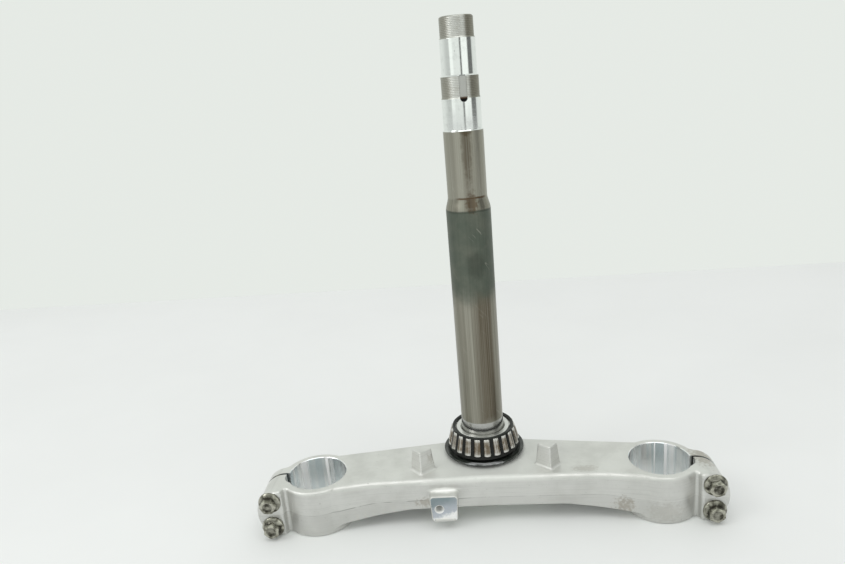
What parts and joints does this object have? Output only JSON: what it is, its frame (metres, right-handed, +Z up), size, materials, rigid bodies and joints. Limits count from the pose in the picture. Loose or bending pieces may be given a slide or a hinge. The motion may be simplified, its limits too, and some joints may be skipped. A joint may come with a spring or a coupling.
{
  "type": "motorcycle lower triple clamp",
  "caption": "Cast aluminium lower fork clamp with split fork rings, pinch bolts and steering stops, on a hollow steel steering stem that carries a tapered roller bearing.",
  "frame": {"origin": "on the stem's axis, level with the clamp's top face", "axes": "+Z up the stem, -Y to the front where the bolt heads are, +X to the viewer's right in the picture"},
  "size_m": [0.3204, 0.0821, 0.3334],
  "materials": {
    "cast_aluminium": "satin casting with machined bores, lightly stained",
    "stem_steel": "worn plain steel, polished at the journals",
    "seal_rubber": "oily black rubber",
    "bearing_steel": "ground and greasy",
    "cage_steel": "blackened sheet steel",
    "plated_steel": "dull zinc plate"
  },
  "bodies": {
    "steering": {"lower_clamp": "cast_aluminium", "steering_stem": "stem_steel", "dust_seal": "seal_rubber", "bearing_inner_ring": "bearing_steel", "pinch_bolts": "plated_steel"},
    "cage": {"bearing_cage": "cage_steel"},
    "roller_01": {"roller_01": "bearing_steel"},
    "roller_02": {"roller_02": "bearing_steel"},
    "roller_03": {"roller_03": "bearing_steel"},
    "roller_04": {"roller_04": "bearing_steel"},
    "roller_05": {"roller_05": "bearing_steel"},
    "roller_06": {"roller_06": "bearing_steel"},
    "roller_07": {"roller_07": "bearing_steel"},
    "roller_08": {"roller_08": "bearing_steel"},
    "roller_09": {"roller_09": "bearing_steel"},
    "roller_10": {"roller_10": "bearing_steel"},
    "roller_11": {"roller_11": "bearing_steel"},
    "roller_12": {"roller_12": "bearing_steel"},
    "roller_13": {"roller_13": "bearing_steel"},
    "roller_14": {"roller_14": "bearing_steel"},
    "roller_15": {"roller_15": "bearing_steel"},
    "roller_16": {"roller_16": "bearing_steel"},
    "roller_17": {"roller_17": "bearing_steel"},
    "roller_18": {"roller_18": "bearing_steel"},
    "roller_19": {"roller_19": "bearing_steel"},
    "roller_20": {"roller_20": "bearing_steel"},
    "roller_21": {"roller_21": "bearing_steel"}
  },
  "joints": [
    {"name": "cage_spin", "type": "hinge", "parent": "steering", "child": "cage", "pos_m": [0, 0, 0.0127], "axis": [0, 0, 1], "continuous": true},
    {"name": "roller_01_spin", "type": "hinge", "parent": "cage", "child": "roller_01", "pos_m": [-0.01928, -0.00974, 0.0127], "axis": [0.1932, 0.0976, 0.9763], "continuous": true},
    {"name": "roller_02_spin", "type": "hinge", "parent": "cage", "child": "roller_02", "pos_m": [-0.01555, -0.01499, 0.0127], "axis": [0.1558, 0.1502, 0.9763], "continuous": true},
    {"name": "roller_03_spin", "type": "hinge", "parent": "cage", "child": "roller_03", "pos_m": [-0.01044, -0.01891, 0.0127], "axis": [0.1046, 0.1895, 0.9763], "continuous": true},
    {"name": "roller_04_spin", "type": "hinge", "parent": "cage", "child": "roller_04", "pos_m": [-0.00441, -0.02115, 0.0127], "axis": [0.0442, 0.2119, 0.9763], "continuous": true},
    {"name": "roller_05_spin", "type": "hinge", "parent": "cage", "child": "roller_05", "pos_m": [0.00202, -0.02151, 0.0127], "axis": [-0.0203, 0.2155, 0.9763], "continuous": true},
    {"name": "roller_06_spin", "type": "hinge", "parent": "cage", "child": "roller_06", "pos_m": [0.00827, -0.01995, 0.0127], "axis": [-0.0829, 0.1999, 0.9763], "continuous": true},
    {"name": "roller_07_spin", "type": "hinge", "parent": "cage", "child": "roller_07", "pos_m": [0.01378, -0.01663, 0.0127], "axis": [-0.1381, 0.1666, 0.9763], "continuous": true},
    {"name": "roller_08_spin", "type": "hinge", "parent": "cage", "child": "roller_08", "pos_m": [0.01807, -0.01183, 0.0127], "axis": [-0.1811, 0.1185, 0.9763], "continuous": true},
    {"name": "roller_09_spin", "type": "hinge", "parent": "cage", "child": "roller_09", "pos_m": [0.02076, -0.00597, 0.0127], "axis": [-0.208, 0.0599, 0.9763], "continuous": true},
    {"name": "roller_10_spin", "type": "hinge", "parent": "cage", "child": "roller_10", "pos_m": [0.0216, 0.00041, 0.0127], "axis": [-0.2164, -0.0041, 0.9763], "continuous": true},
    {"name": "roller_11_spin", "type": "hinge", "parent": "cage", "child": "roller_11", "pos_m": [0.02052, 0.00676, 0.0127], "axis": [-0.2056, -0.0677, 0.9763], "continuous": true},
    {"name": "roller_12_spin", "type": "hinge", "parent": "cage", "child": "roller_12", "pos_m": [0.01761, 0.0125, 0.0127], "axis": [-0.1765, -0.1253, 0.9763], "continuous": true},
    {"name": "roller_13_spin", "type": "hinge", "parent": "cage", "child": "roller_13", "pos_m": [0.01315, 0.01714, 0.0127], "axis": [-0.1317, -0.1717, 0.9763], "continuous": true},
    {"name": "roller_14_spin", "type": "hinge", "parent": "cage", "child": "roller_14", "pos_m": [0.00751, 0.02025, 0.0127], "axis": [-0.0752, -0.2029, 0.9763], "continuous": true},
    {"name": "roller_15_spin", "type": "hinge", "parent": "cage", "child": "roller_15", "pos_m": [0.00121, 0.02157, 0.0127], "axis": [-0.0121, -0.2161, 0.9763], "continuous": true},
    {"name": "roller_16_spin", "type": "hinge", "parent": "cage", "child": "roller_16", "pos_m": [-0.0052, 0.02096, 0.0127], "axis": [0.0522, -0.2101, 0.9763], "continuous": true},
    {"name": "roller_17_spin", "type": "hinge", "parent": "cage", "child": "roller_17", "pos_m": [-0.01115, 0.0185, 0.0127], "axis": [0.1118, -0.1854, 0.9763], "continuous": true},
    {"name": "roller_18_spin", "type": "hinge", "parent": "cage", "child": "roller_18", "pos_m": [-0.01611, 0.01439, 0.0127], "axis": [0.1614, -0.1442, 0.9763], "continuous": true},
    {"name": "roller_19_spin", "type": "hinge", "parent": "cage", "child": "roller_19", "pos_m": [-0.01963, 0.009, 0.0127], "axis": [0.1967, -0.0902, 0.9763], "continuous": true},
    {"name": "roller_20_spin", "type": "hinge", "parent": "cage", "child": "roller_20", "pos_m": [-0.02142, 0.00281, 0.0127], "axis": [0.2146, -0.0282, 0.9763], "continuous": true},
    {"name": "roller_21_spin", "type": "hinge", "parent": "cage", "child": "roller_21", "pos_m": [-0.02129, -0.00362, 0.0127], "axis": [0.2134, 0.0363, 0.9763], "continuous": true}
  ],
  "couplings": [
    {"joint": "roller_01_spin", "follows": "cage_spin", "ratio": 6.6027},
    {"joint": "roller_02_spin", "follows": "cage_spin", "ratio": 6.6027},
    {"joint": "roller_03_spin", "follows": "cage_spin", "ratio": 6.6027},
    {"joint": "roller_04_spin", "follows": "cage_spin", "ratio": 6.6027},
    {"joint": "roller_05_spin", "follows": "cage_spin", "ratio": 6.6027},
    {"joint": "roller_06_spin", "follows": "cage_spin", "ratio": 6.6027},
    {"joint": "roller_07_spin", "follows": "cage_spin", "ratio": 6.6027},
    {"joint": "roller_08_spin", "follows": "cage_spin", "ratio": 6.6027},
    {"joint": "roller_09_spin", "follows": "cage_spin", "ratio": 6.6027},
    {"joint": "roller_10_spin", "follows": "cage_spin", "ratio": 6.6027},
    {"joint": "roller_11_spin", "follows": "cage_spin", "ratio": 6.6027},
    {"joint": "roller_12_spin", "follows": "cage_spin", "ratio": 6.6027},
    {"joint": "roller_13_spin", "follows": "cage_spin", "ratio": 6.6027},
    {"joint": "roller_14_spin", "follows": "cage_spin", "ratio": 6.6027},
    {"joint": "roller_15_spin", "follows": "cage_spin", "ratio": 6.6027},
    {"joint": "roller_16_spin", "follows": "cage_spin", "ratio": 6.6027},
    {"joint": "roller_17_spin", "follows": "cage_spin", "ratio": 6.6027},
    {"joint": "roller_18_spin", "follows": "cage_spin", "ratio": 6.6027},
    {"joint": "roller_19_spin", "follows": "cage_spin", "ratio": 6.6027},
    {"joint": "roller_20_spin", "follows": "cage_spin", "ratio": 6.6027},
    {"joint": "roller_21_spin", "follows": "cage_spin", "ratio": 6.6027}
  ]
}
